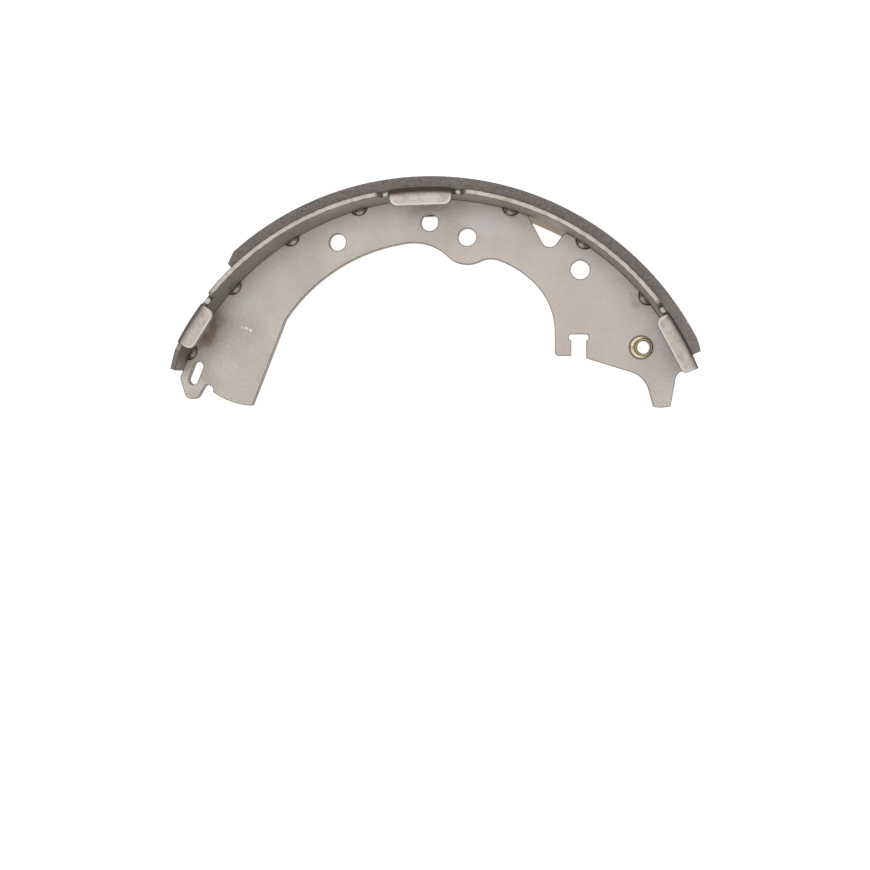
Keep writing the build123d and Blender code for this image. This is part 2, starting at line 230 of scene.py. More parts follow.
def web_steel(settings):
    """Blanked cold-rolled steel, tumbled: a dull warm grey with faint bluish clouds and a fine mottle."""
    material, tree, shader, place, normal = start_material("web_blanked_steel")
    values = {"operation": "DISTANCE", 0: place, 1: DRUM_AXIS}
    from_axis = add_node(tree, "ShaderNodeVectorMath", values).outputs["Value"]
    height = add_node(tree, "ShaderNodeSeparateXYZ", {"Vector": place}).outputs[2]
    facing = add_node(tree, "ShaderNodeSeparateXYZ", {"Vector": normal}).outputs[2]
    level = add_node(tree, "ShaderNodeMath", {"operation": "ABSOLUTE", 0: facing}).outputs[0]

    # Clouds 25 mm across where oil dried, tints 35 mm across, a mottle of 1 mm from tumbling, and rust dust
    # of 2.4 mm. The real mottle and dust are finer, and are drawn as coarse as they need to show.
    values = {"Vector": place, "Scale": 40, "Detail": 4, "Roughness": 0.6}
    clouds = add_node(tree, "ShaderNodeTexNoise", values).outputs[0]
    values = {"Vector": place, "Scale": 28, "Detail": 3, "Roughness": 0.5, "Distortion": 0.6}
    tint = add_node(tree, "ShaderNodeTexNoise", values).outputs[0]
    values = {"Vector": place, "Scale": 1000, "Detail": 2, "Roughness": 0.6}
    mottle = add_node(tree, "ShaderNodeTexNoise", values).outputs[0]
    values = {"Vector": place, "Scale": 420, "Detail": 2, "Roughness": 0.7}
    rust_dust = add_node(tree, "ShaderNodeTexNoise", values).outputs[0]

    # The blue is strongest towards the table
    cloud_share = add_node(tree, "ShaderNodeMapRange", {"Value": clouds, 1: 0.35, 2: 0.65}).outputs[0]
    colour = lay_over(tree, settings.web_dark, [(cloud_share, 1.0, settings.web_light)])
    values = {"interpolation_type": "SMOOTHSTEP", "Value": from_axis, 1: 0.085, 2: 0.116, 3: 0.15}
    outer_band = add_node(tree, "ShaderNodeMapRange", values).outputs[0]
    blue_noise = add_node(tree, "ShaderNodeMapRange", {"Value": tint, 1: 0.42, 2: 0.62}).outputs[0]
    values = {"operation": "MULTIPLY", 0: blue_noise, 1: outer_band}
    blue_share = add_node(tree, "ShaderNodeMath", values).outputs[0]
    warm_share = add_node(tree, "ShaderNodeMapRange", {"Value": tint, 1: 0.44, 2: 0.3}).outputs[0]
    dust_share = add_node(tree, "ShaderNodeMapRange", {"Value": rust_dust, 1: 0.56, 2: 0.72}).outputs[0]
    layers = [
        (blue_share, 0.5, settings.web_blue),
        (warm_share, 0.25, settings.web_warm),
        (dust_share, 0.35, settings.web_warm),
    ]

    # Marks get an outline that wavers by up to 5 mm, in waves 8 mm long
    values = {"Vector": place, "Scale": 130, "Detail": 1, "Roughness": 0.5}
    waver = add_node(tree, "ShaderNodeTexNoise", values).outputs[1]
    values = {"operation": "SUBTRACT", 0: waver, 1: (0.5, 0.5, 0.5)}
    waver = add_node(tree, "ShaderNodeVectorMath", values).outputs[0]
    values = {"operation": "MULTIPLY_ADD", 0: waver, 1: (0.010, 0.010, 0), 2: place}
    wavy_place = add_node(tree, "ShaderNodeVectorMath", values).outputs[0]

    # Single marks: bluish clouds, paler places where the oil was wiped off, brown heat tints by the toe tab,
    # a painted shadow under the crown tab, and smudges below two weld notches. Each has a centre, half
    # sizes, turn in degrees, strength and tone.
    marks = (
        ((0.0096, 0.0050, 0), (0.0220, 0.0085, 1), -8, 0.6, settings.web_blue),
        ((-0.0840, -0.0410, 0), (0.0110, 0.0150, 1), 20, 0.5, settings.web_pale),
        ((-0.0522, -0.0030, 0), (0.0190, 0.0080, 1), 20, 0.5, settings.web_pale),
        ((0.0671, -0.0109, 0), (0.0150, 0.0095, 1), -40, 0.5, settings.web_pale),
        ((-0.1229, -0.0653, 0), (0.0085, 0.0085, 1), 0, 0.5, settings.web_pale),
        ((-0.0986, -0.0299, 0), (0.013, 0.010, 1), 40, 0.5, settings.web_blue),
        ((-0.1080, -0.0560, 0), (0.010, 0.008, 1), 60, 0.45, settings.web_blue),
        ((0.0840, -0.0440, 0), (0.006, 0.013, 1), 10, 0.6, settings.web_blue),
        ((-0.1125, -0.0405, 0), (0.0080, 0.0140, 1), -30, 0.45, settings.heat_tan_and_shadow),
        ((-0.1124, -0.0392, 0), (0.0042, 0.0090, 1), -30, 0.6, settings.heat_brown),
        ((-0.1166, -0.0452, 0), (0.0048, 0.0052, 1), -30, 0.6, settings.heat_red),
        # A painted shadow under the crown tab
        ((-0.0169, 0.0125, 0), (0.0120, 0.0040, 1), 0, 0.35, settings.heat_tan_and_shadow),
        ((0.0190, 0.0090, 0), (0.0034, 0.0020, 1), -20, 0.5, settings.smudge),
        ((0.0743, -0.0283, 0), (0.0044, 0.0026, 1), 30, 0.35, settings.smudge),
    )
    for centre, stretch, turn, strength, tone in marks:
        layers.append((spot(tree, wavy_place, centre, stretch, turn), strength, tone))

    # Soot in the weld notches, partly painted shade in those recesses, and a dark line along each edge
    edge, rounded = edge_mask(tree, normal, width=0.0008)
    layers.append((near_welds(tree, place, reach=0.0033), 0.6, settings.soot_and_shade))
    layers.append((edge, 0.95, settings.sheared_edge))
    colour = lay_over(tree, colour, layers)

    # Cut faces: bright where the punch sheared them, dull where the steel broke, in streaks 0.7 mm wide
    values = {"Vector": place, "Scale": (1500, 1500, 90)}
    streaks = add_node(tree, "ShaderNodeMapping", values).outputs[0]
    torn = add_node(tree, "ShaderNodeTexNoise", {"Vector": streaks, "Scale": 1, "Detail": 2}).outputs[0]
    values = {"operation": "MULTIPLY_ADD", 0: torn, 1: 0.0012, 2: height}
    ragged = add_node(tree, "ShaderNodeMath", values).outputs[0]
    sheared = add_node(tree, "ShaderNodeMapRange", {"Value": ragged, 1: 0.0009, 2: 0.0014}).outputs[0]
    cut_colour = lay_over(tree, settings.broken_edge, [(sheared, 1.0, settings.web_dark)])
    cut_share = add_node(tree, "ShaderNodeMapRange", {"Value": level, 1: 0.7, 2: 0.3}).outputs[0]
    colour = lay_over(tree, colour, [(cut_share, 1.0, cut_colour)])
    colour = shaded(tree, colour, mottle, darkest=0.82, lightest=1.17)

    # Three bright nicks, bare metal, each with its place and strength
    nicks = []
    for x, y, strength in ((-0.0998, -0.0399, 0.45), (-0.0980, -0.0403, 1.0), (-0.0961, -0.0412, 0.95)):
        nick = spot(tree, place, (x, y, WEB_TOP), (0.0010, 0.0007, 0.001), turn=-25, core=0.4)
        nicks.append((nick, strength, settings.bare_nick))
    colour = lay_over(tree, colour, nicks)

    values = {"Value": mottle, 1: 0.3, 2: 0.7, 3: 0.46, 4: 0.62}
    gloss = add_node(tree, "ShaderNodeMapRange", values).outputs[0]
    values = {"operation": "MULTIPLY_ADD", 0: torn, 1: cut_share, 2: mottle}
    relief = add_node(tree, "ShaderNodeMath", values).outputs[0]
    finish_shader(tree, shader, colour, gloss, relief, rounded, depth=0.00004, metallic=0.5)
    return material


def table_steel(settings):
    """Rolled and formed strip steel: dull olive-brown oxide and painted shade on the walls and bends, rubbed
    bright on tabs, with a painted highlight on their rims.
    """
    material, tree, shader, place, normal = start_material("table_rolled_steel")
    values = {"operation": "MULTIPLY", 0: place, 1: (1, 1, 0)}
    flat_place = add_node(tree, "ShaderNodeVectorMath", values).outputs[0]
    values = {"operation": "DISTANCE", 0: flat_place, 1: DRUM_AXIS}
    from_axis = add_node(tree, "ShaderNodeVectorMath", values).outputs["Value"]
    values = {"operation": "SUBTRACT", 0: flat_place, 1: DRUM_AXIS}
    from_centre = add_node(tree, "ShaderNodeVectorMath", values).outputs[0]
    radial = add_node(tree, "ShaderNodeVectorMath", {"operation": "NORMALIZE", 0: from_centre}).outputs[0]
    values = {"operation": "DOT_PRODUCT", 0: normal, 1: radial}
    outwards = add_node(tree, "ShaderNodeVectorMath", values).outputs["Value"]
    height = add_node(tree, "ShaderNodeSeparateXYZ", {"Vector": place}).outputs[2]
    facing = add_node(tree, "ShaderNodeSeparateXYZ", {"Vector": normal}).outputs[2]
    level = add_node(tree, "ShaderNodeMath", {"operation": "ABSOLUTE", 0: facing}).outputs[0]

    # Clouds of 12 mm, drawn down the wall as the oil ran off, and a mottle of 1 mm
    run_off = add_node(tree, "ShaderNodeMapping", {"Vector": place, "Scale": (1, 1, 0.45)}).outputs[0]
    values = {"Vector": run_off, "Scale": 85, "Detail": 4, "Roughness": 0.6}
    clouds = add_node(tree, "ShaderNodeTexNoise", values).outputs[0]
    values = {"Vector": place, "Scale": 900, "Detail": 2, "Roughness": 0.6}
    mottle = add_node(tree, "ShaderNodeTexNoise", values).outputs[0]
    cloud_share = add_node(tree, "ShaderNodeMapRange", {"Value": clouds, 1: 0.35, 2: 0.65}).outputs[0]
    # The inner wall is darker than the outer one, partly oxide and partly painted shade
    inner_colour = lay_over(tree, settings.table_dark, [(cloud_share, 1.0, settings.table_light)])
    outer_colour = lay_over(tree, settings.web_dark, [(cloud_share, 1.0, settings.web_light)])

    # The wall: light outside, with glue and painted shade along the lining, a tan patch behind the window,
    # and burnt welds with painted shade
    values = {"Value": from_axis, 1: TABLE_INNER_RADIUS + 0.0007, 2: TABLE_OUTER_RADIUS - 0.0007}
    outside = add_node(tree, "ShaderNodeMapRange", values).outputs[0]
    from_web = add_node(tree, "ShaderNodeMath", {"operation": "ABSOLUTE", 0: height}).outputs[0]
    values = {"Value": from_web, 1: LINING_TOP - 0.0010, 2: LINING_TOP + 0.0012}
    above_lining = add_node(tree, "ShaderNodeMapRange", values).outputs[0]
    values = {"operation": "MULTIPLY", 0: outside, 1: above_lining}
    glue_and_shade = add_node(tree, "ShaderNodeMath", values).outputs[0]
    window_middle = around_drum(TABLE_INNER_RADIUS, WINDOW, height=-0.010)
    window = spot(tree, place, window_middle, (0.019, 0.019, 0.021), core=0.5)
    values = {"Value": clouds, 1: 0.3, 2: 0.6, 3: 0.7, 4: 1.0}
    stained = add_node(tree, "ShaderNodeMapRange", values).outputs[0]
    window = add_node(tree, "ShaderNodeMath", {"operation": "MULTIPLY", 0: window, 1: stained}).outputs[0]
    wall_middle = around_drum(TABLE_INNER_RADIUS, TOE_WALL)
    toe_wall = spot(tree, flat_place, wall_middle, (0.022, 0.022, 1), core=0.3)
    corner = around_drum(TABLE_INNER_RADIUS, TOE_CORNER)
    toe_corner = spot(tree, flat_place, corner, (0.0075, 0.0035, 1), turn=-TOE_CORNER, core=0.5)
    wall_layers = [
        (toe_wall, 0.6, settings.toe_green),
        (toe_corner, 0.5, settings.bend_oxide_and_shade),
        (outside, 1.0, outer_colour),
        (glue_and_shade, 1.0, settings.glue_and_shade),
        (window, 1.0, settings.window_tan),
        (near_welds(tree, place, reach=0.0040), 0.6, settings.soot_and_shade),
    ]
    wall_colour = lay_over(tree, inner_colour, wall_layers)

    # Tab tops and cut edges, rubbed bright in patches of 3 mm
    top_share = add_node(tree, "ShaderNodeMapRange", {"Value": level, 1: 0.55, 2: 0.8}).outputs[0]
    values = {"Vector": place, "Scale": 330, "Detail": 3, "Roughness": 0.65}
    rubs = add_node(tree, "ShaderNodeTexNoise", values).outputs[0]
    rub_share = add_node(tree, "ShaderNodeMapRange", {"Value": rubs, 1: 0.5, 2: 0.68}).outputs[0]
    layers = [(cloud_share, 1.0, settings.tab_light), (rub_share, 0.6, settings.tab_rub)]
    top_colour = lay_over(tree, settings.tab_dark, layers)

    # The bends get painted shade, partly their oxide. It reaches less far on the end tabs, and fades out at
    # the heel tab's end, beyond the lining.
    values = {"Value": height, 1: LINING_TOP + 0.0005, 2: LINING_TOP + 0.0012}
    on_tab = add_node(tree, "ShaderNodeMapRange", values).outputs[0]
    at_toe, at_heel, at_crown = (
        spot(tree, flat_place, around_drum(TABLE_OUTER_RADIUS, angle), (0.02, 0.02, 1), core=0.8)
        for angle in (TOE_TAB, HEEL_TAB, CROWN_TAB)
    )
    at_ends = add_node(tree, "ShaderNodeMath", {"operation": "MAXIMUM", 0: at_toe, 1: at_heel}).outputs[0]
    values = {"operation": "MULTIPLY_ADD", 0: at_ends, 1: -0.35, 2: outwards}
    turned_out = add_node(tree, "ShaderNodeMath", values).outputs[0]
    bend_share = add_node(tree, "ShaderNodeMapRange", {"Value": turned_out, 1: 0.03, 2: 0.4}).outputs[0]
    heel_end = around_drum(TABLE_OUTER_RADIUS, HEEL_TAB_END)
    heel_end_fade = spot(tree, flat_place, heel_end, (0.0085, 0.0085, 1), core=0.6)
    values = {"operation": "MULTIPLY_ADD", 0: heel_end_fade, 1: -0.7, 2: 1.0}
    kept_share = add_node(tree, "ShaderNodeMath", values).outputs[0]
    for share in (on_tab, kept_share):
        values = {"operation": "MULTIPLY", 0: bend_share, 1: share}
        bend_share = add_node(tree, "ShaderNodeMath", values).outputs[0]

    # On the crown tab the painted shade and oxide fade in over 2 mm, from the tab's middle towards the bend
    values = {"Value": from_axis, 1: TABLE_INNER_RADIUS - 0.0021, 2: TABLE_INNER_RADIUS + 0.0003}
    crown_fade = add_node(tree, "ShaderNodeMapRange", values).outputs[0]
    for share in (at_crown, on_tab):
        values = {"operation": "MULTIPLY", 0: crown_fade, 1: share}
        crown_fade = add_node(tree, "ShaderNodeMath", values).outputs[0]

    # The reliefs beside the tabs: painted shade on their ends, and pale floors
    values = {"Value": from_web, 1: RELIEF_FLOOR + 0.0016, 2: RELIEF_FLOOR + 0.0006}
    in_relief = add_node(tree, "ShaderNodeMapRange", values).outputs[0]
    values = {"Value": from_web, 1: RELIEF_FLOOR + 0.0003, 2: RELIEF_FLOOR + 0.0001}
    at_floor = add_node(tree, "ShaderNodeMapRange", values).outputs[0]
    near_reliefs = None
    for angle in RELIEF_ANGLES:
        centre = around_drum(TABLE_OUTER_RADIUS, angle)
        near = spot(tree, flat_place, centre, (0.0017, 0.0030, 1), turn=-angle, core=0.7)
        if near_reliefs is not None:
            values = {"operation": "MAXIMUM", 0: near_reliefs, 1: near}
            near = add_node(tree, "ShaderNodeMath", values).outputs[0]
        near_reliefs = near
    values = {"operation": "MULTIPLY", 0: at_floor, 1: near_reliefs}
    relief_floor = add_node(tree, "ShaderNodeMath", values).outputs[0]

    # The far tab gets brown oxide and painted shade, and the table's toe end is dull
    far_side = add_node(tree, "ShaderNodeMapRange", {"Value": height, 1: -0.010, 2: -0.012}).outputs[0]
    inward = add_node(tree, "ShaderNodeMapRange", {"Value": facing, 1: 0.3, 2: 0.6}).outputs[0]
    far_tab = add_node(tree, "ShaderNodeMath", {"operation": "MULTIPLY", 0: far_side, 1: inward}).outputs[0]
    toe_end = spot(tree, flat_place, (-0.1270, -0.0560, 0), (0.010, 0.014, 1), turn=25, core=0.85)
    upward = add_node(tree, "ShaderNodeMapRange", {"Value": facing, 1: 0.1, 2: 0.3}).outputs[0]
    values = {"operation": "MULTIPLY", 0: toe_end, 1: upward}
    dull_share = add_node(tree, "ShaderNodeMath", values).outputs[0]
    top_layers = [
        (in_relief, 0.9, settings.bend_oxide_and_shade),
        (relief_floor, 1.0, settings.relief_floor),
        (far_tab, 0.8, settings.far_oxide_and_shade),
    ]
    top_colour = lay_over(tree, top_colour, top_layers)

    # A painted highlight along the rims of the tabs' tops, and the dark line along each cut edge, both
    # broken up by the rubs
    tab_rim = edge_mask(tree, normal, width=0.0020, softness=0.03)[0]
    values = {"Value": height, 1: TAB_TOP - 0.0010, 2: TAB_TOP - 0.0006}
    tab_top = add_node(tree, "ShaderNodeMapRange", values).outputs[0]
    values = {"Value": rubs, 1: 0.4, 2: 0.6, 3: 0.35, 4: 1.0}
    highlight_breaks = add_node(tree, "ShaderNodeMapRange", values).outputs[0]
    for share in (tab_top, highlight_breaks):
        values = {"operation": "MULTIPLY", 0: tab_rim, 1: share}
        tab_rim = add_node(tree, "ShaderNodeMath", values).outputs[0]
    edge, rounded = edge_mask(tree, normal, width=0.0009)
    values = {"Value": rubs, 1: 0.38, 2: 0.56, 3: 0.45, 4: 1.0}
    burrs = add_node(tree, "ShaderNodeMapRange", values).outputs[0]
    edge = add_node(tree, "ShaderNodeMath", {"operation": "MULTIPLY", 0: edge, 1: burrs}).outputs[0]
    # The tab rims carry a painted highlight, and the bends painted shade
    layers = [
        (top_share, 1.0, top_colour),
        (tab_rim, 0.9, settings.tab_crest),
        (crown_fade, 0.65, settings.bend_oxide_and_shade),
        (bend_share, 0.9, settings.bend_oxide_and_shade),
        (dull_share, 0.95, settings.dull_end),
        (edge, 1.0, settings.sheared_edge),
    ]
    colour = lay_over(tree, wall_colour, layers)
    colour = shaded(tree, colour, mottle, darkest=0.9, lightest=1.09)

    values = {"Value": mottle, 1: 0.3, 2: 0.7, 3: 0.42, 4: 0.6}
    gloss = add_node(tree, "ShaderNodeMapRange", values).outputs[0]
    finish_shader(tree, shader, colour, gloss, mottle, rounded, depth=0.00005, metallic=0.5)
    return material


def friction_block(settings):
    """Moulded friction composite, ground outside: dark grey-brown, with pale fibres and dark grains."""
    material, tree, shader, place, normal = start_material("lining_moulded_friction")
    facing = add_node(tree, "ShaderNodeSeparateXYZ", {"Vector": normal}).outputs[2]
    level = add_node(tree, "ShaderNodeMath", {"operation": "ABSOLUTE", 0: facing}).outputs[0]
    ground = add_node(tree, "ShaderNodeMapRange", {"Value": level, 1: 0.6, 2: 0.3}).outputs[0]
    colour = lay_over(tree, settings.side, [(ground, 1.0, settings.face)])

    # Clouds of 15 mm from the pressing, grains of 0.8 mm, specks of 0.6 mm, resin patches of 6 mm, and one
    # cell in five with a pale fibre of 0.6 mm. The real ones are finer, and are drawn as coarse as they need
    # to show.
    values = {"Vector": place, "Scale": 70, "Detail": 3, "Roughness": 0.6}
    clouds = add_node(tree, "ShaderNodeTexNoise", values).outputs[0]
    values = {"Vector": place, "Scale": 1250, "Detail": 3, "Roughness": 0.7}
    grain = add_node(tree, "ShaderNodeTexNoise", values).outputs[0]
    cells = add_node(tree, "ShaderNodeTexVoronoi", {"Vector": place, "Scale": 900, "Randomness": 1.0})
    cell_code = add_node(tree, "ShaderNodeSeparateColor", {"Color": cells.outputs["Color"]}).outputs[0]
    chosen = add_node(tree, "ShaderNodeMath", {"operation": "GREATER_THAN", 0: cell_code, 1: 0.8}).outputs[0]
    values = {"Value": cells.outputs["Distance"], 1: 0.5, 2: 0.1}
    middle = add_node(tree, "ShaderNodeMapRange", values).outputs[0]
    fibres = add_node(tree, "ShaderNodeMath", {"operation": "MULTIPLY", 0: chosen, 1: middle}).outputs[0]
    grain_share = add_node(tree, "ShaderNodeMapRange", {"Value": grain, 1: 0.5, 2: 0.3}).outputs[0]
    edge, rounded = edge_mask(tree, normal, width=0.0004)
    chip = (0.0939, -0.0383, LINING_TOP)
    fleck = spot(tree, place, chip, (0.0012, 0.0008, 0.0012), turn=60, core=0.3)
    paler_heel = spot(tree, place, around_drum(TABLE_OUTER_RADIUS, HEEL), (0.03, 0.03, 1), core=0.3)
    values = {"Vector": place, "Scale": 1700, "Detail": 2, "Roughness": 0.6}
    specks = add_node(tree, "ShaderNodeTexNoise", values).outputs[0]
    dark_specks = add_node(tree, "ShaderNodeMapRange", {"Value": specks, 1: 0.42, 2: 0.3}).outputs[0]
    pale_specks = add_node(tree, "ShaderNodeMapRange", {"Value": specks, 1: 0.64, 2: 0.72}).outputs[0]
    moulded = add_node(tree, "ShaderNodeMath", {"operation": "SUBTRACT", 0: 1.0, 1: ground}).outputs[0]
    values = {"operation": "MULTIPLY", 0: grain_share, 1: moulded}
    coarse = add_node(tree, "ShaderNodeMath", values).outputs[0]
    values = {"Vector": place, "Scale": 160, "Detail": 2, "Roughness": 0.5}
    resin = add_node(tree, "ShaderNodeTexNoise", values).outputs[0]
    resin_share = add_node(tree, "ShaderNodeMapRange", {"Value": resin, 1: 0.45, 2: 0.62}).outputs[0]
    values = {"operation": "MULTIPLY", 0: resin_share, 1: moulded}
    resin_share = add_node(tree, "ShaderNodeMath", values).outputs[0]
    layers = [
        (resin_share, 0.5, settings.resin),
        (coarse, 0.55, settings.grain),
        (dark_specks, 0.45, settings.grain),
        (pale_specks, 0.7, settings.pale_speck),
        (fibres, 0.4, settings.fibre),
        (edge, 0.3, settings.grain),
        (fleck, 0.9, settings.fleck),
        (paler_heel, 0.4, settings.face),
    ]
    colour = shaded(tree, colour, clouds, darkest=0.95, lightest=1.06)
    colour = shaded(tree, lay_over(tree, colour, layers), grain, darkest=0.88, lightest=1.12)
    values = {"Value": grain, 1: 0.3, 2: 0.7, 3: 0.92, 4: 0.75}
    roughness = add_node(tree, "ShaderNodeMapRange", values).outputs[0]
    finish_shader(tree, shader, colour, roughness, grain, rounded, depth=0.0001, metallic=0.0)
    return material


def yellow_zinc(settings):
    """Turned steel, zinc plated and yellow passivated: a glossy gold with brown and greenish patches."""
    material, tree, shader, place, normal = start_material("bush_yellow_zinc")

    # A film uneven in patches of 4 mm, brown on slopes and in the corner to the web, partly a thicker film
    # and partly painted shade
    film = add_node(tree, "ShaderNodeTexNoise", {"Vector": place, "Scale": 260, "Detail": 3}).outputs[0]
    thin_share = add_node(tree, "ShaderNodeMapRange", {"Value": film, 1: 0.35, 2: 0.65}).outputs[0]
    height = add_node(tree, "ShaderNodeSeparateXYZ", {"Vector": place}).outputs[2]
    values = {"Value": height, 1: WEB_TOP + 0.0007, 2: WEB_TOP + 0.0001}
    low = add_node(tree, "ShaderNodeMapRange", values).outputs[0]
    facing = add_node(tree, "ShaderNodeSeparateXYZ", {"Vector": normal}).outputs[2]
    slope = add_node(tree, "ShaderNodeMapRange", {"Value": facing, 1: 0.92, 2: 0.45}).outputs[0]
    values = {"Value": height, 1: WEB_TOP + 0.0014, 2: WEB_TOP + 0.0011}
    on_collar = add_node(tree, "ShaderNodeMapRange", values).outputs[0]

    # A painted highlight: a bright ring on the wide side of the collar
    middle = collar_centre()
    ring_middle = middle.lerp(bush_centre(), 0.35)
    to_wide_side = (-0.966, -0.259, 0)
    values = {"operation": "MULTIPLY", 0: place, 1: (1, 1, 0)}
    flat_place = add_node(tree, "ShaderNodeVectorMath", values).outputs[0]
    values = {"operation": "DISTANCE", 0: flat_place, 1: ring_middle}
    from_ring = add_node(tree, "ShaderNodeVectorMath", values).outputs["Value"]
    values = {"operation": "SUBTRACT", 0: from_ring, 1: settings.ring_radius}
    from_ring = add_node(tree, "ShaderNodeMath", values).outputs[0]
    from_ring = add_node(tree, "ShaderNodeMath", {"operation": "ABSOLUTE", 0: from_ring}).outputs[0]
    values = {"Value": from_ring, 1: 0.0002, 2: 0.0007, 3: 1.0, 4: 0.0}
    collar_highlight = add_node(tree, "ShaderNodeMapRange", values).outputs[0]
    values = {"operation": "SUBTRACT", 0: flat_place, 1: middle}
    from_middle = add_node(tree, "ShaderNodeVectorMath", values).outputs[0]
    values = {"operation": "DOT_PRODUCT", 0: from_middle, 1: to_wide_side}
    wide_side = add_node(tree, "ShaderNodeVectorMath", values).outputs["Value"]
    values = {"Value": wide_side, 1: -0.0020, 2: -0.0010}
    wide_share = add_node(tree, "ShaderNodeMapRange", values).outputs[0]
    values = {"Value": film, 1: 0.35, 2: 0.6, 3: 0.5, 4: 1.0}
    uneven = add_node(tree, "ShaderNodeMapRange", values).outputs[0]
    for share in (wide_share, uneven, on_collar):
        values = {"operation": "MULTIPLY", 0: collar_highlight, 1: share}
        collar_highlight = add_node(tree, "ShaderNodeMath", values).outputs[0]

    # Painted shade along the collar's rim and on its narrow side, and one patch of film that crosses the
    # highlight ring
    away = add_node(tree, "ShaderNodeVectorMath", {"operation": "LENGTH", 0: from_middle}).outputs["Value"]
    rim = add_node(tree, "ShaderNodeMapRange", {"Value": away, 1: 0.0043, 2: 0.0047}).outputs[0]
    rim = add_node(tree, "ShaderNodeMath", {"operation": "MULTIPLY", 0: rim, 1: wide_share}).outputs[0]
    patch = middle + Vector((-0.0040, -0.0001, 0))
    kept_film = spot(tree, flat_place, patch, (0.0016, 0.0013, 1), core=0.3)
    values = {"Value": wide_side, 1: -0.0022, 2: -0.0038}
    narrow_share = add_node(tree, "ShaderNodeMapRange", values).outputs[0]
    # The ring is a painted highlight, and the rim, narrow side, slopes and corner carry painted shade
    layers = [
        (thin_share, 1.0, settings.pale),
        (on_collar, 0.75, settings.tan),
        (collar_highlight, 1.0, settings.collar_highlight),
        (kept_film, 0.7, settings.tan),
        (rim, 0.5, settings.brown),
        (narrow_share, 0.3, settings.brown),
        (slope, 0.75, settings.brown),
        (low, 0.8, settings.brown),
    ]
    colour = lay_over(tree, settings.gold, layers)

    # Turning marks 0.3 mm apart, coarser than real ones so that they show
    values = {"operation": "SUBTRACT", 0: place, 1: bush_centre()}
    centred = add_node(tree, "ShaderNodeVectorMath", values).outputs[0]
    values = {"wave_type": "RINGS", "rings_direction": "Z", "Vector": centred, "Scale": 1050}
    rings = add_node(tree, "ShaderNodeTexWave", {**values, "Distortion": 0.4}).outputs[1]
    values = {"Value": film, 1: 0.35, 2: 0.65, 3: 0.22, 4: 0.34}
    gloss = add_node(tree, "ShaderNodeMapRange", values).outputs[0]
    finish_shader(tree, shader, colour, gloss, rings, None, depth=0.00001, metallic=0.85)
    return material


def weld_metal(settings):
    """Steel squeezed out of a resistance weld: a grey skin on its crown, and black scale round its root,
    partly painted shade in the notch.
    """
    material, tree, shader, place = start_material("weld_squeezed_steel")[:4]

    # Scale in flakes of 2 mm, coarser than real ones so that they show
    values = {"Vector": place, "Scale": 520, "Detail": 3, "Roughness": 0.7}
    scale = add_node(tree, "ShaderNodeTexNoise", values).outputs[0]
    height = add_node(tree, "ShaderNodeSeparateXYZ", {"Vector": place}).outputs[2]
    from_web = add_node(tree, "ShaderNodeMath", {"operation": "ABSOLUTE", 0: height}).outputs[0]
    values = {"Value": from_web, 1: WEB_TOP - 0.0011, 2: WEB_TOP - 0.0001}
    crown = add_node(tree, "ShaderNodeMapRange", values).outputs[0]
    pits = add_node(tree, "ShaderNodeMapRange", {"Value": scale, 1: 0.48, 2: 0.36}).outputs[0]
    # The root in the notch is dark with scale and with painted shade
    layers = [(crown, 1.0, settings.nugget), (pits, 0.7, settings.scale)]
    colour = lay_over(tree, settings.scale, layers)
    values = {"Value": scale, 1: 0.35, 2: 0.65, 3: 0.5, 4: 0.32}
    gloss = add_node(tree, "ShaderNodeMapRange", values).outputs[0]
    finish_shader(tree, shader, colour, gloss, scale, None, depth=0.0001, metallic=0.5)
    return material


def bush_centre():
    """The middle of the bush, from its solid's box."""
    low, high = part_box("pivot_bush")
    return Vector(((low.x + high.x) / 2, (low.y + high.y) / 2, 0))


def collar_centre():
    """The middle of the bush's collar, which is as wide as the bush and off-centre towards the toe."""
    low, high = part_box("pivot_bush")
    radius = (high.y - low.y) / 2
    return Vector((low.x + radius, low.y + radius, 0))


def start_piece(name):
    """Names the primitive that was just added, and opens it for shaping with everything selected."""
    piece = bpy.context.active_object
    piece.name = name
    piece.data.name = name
    bpy.ops.object.mode_set(mode="EDIT")
    return piece


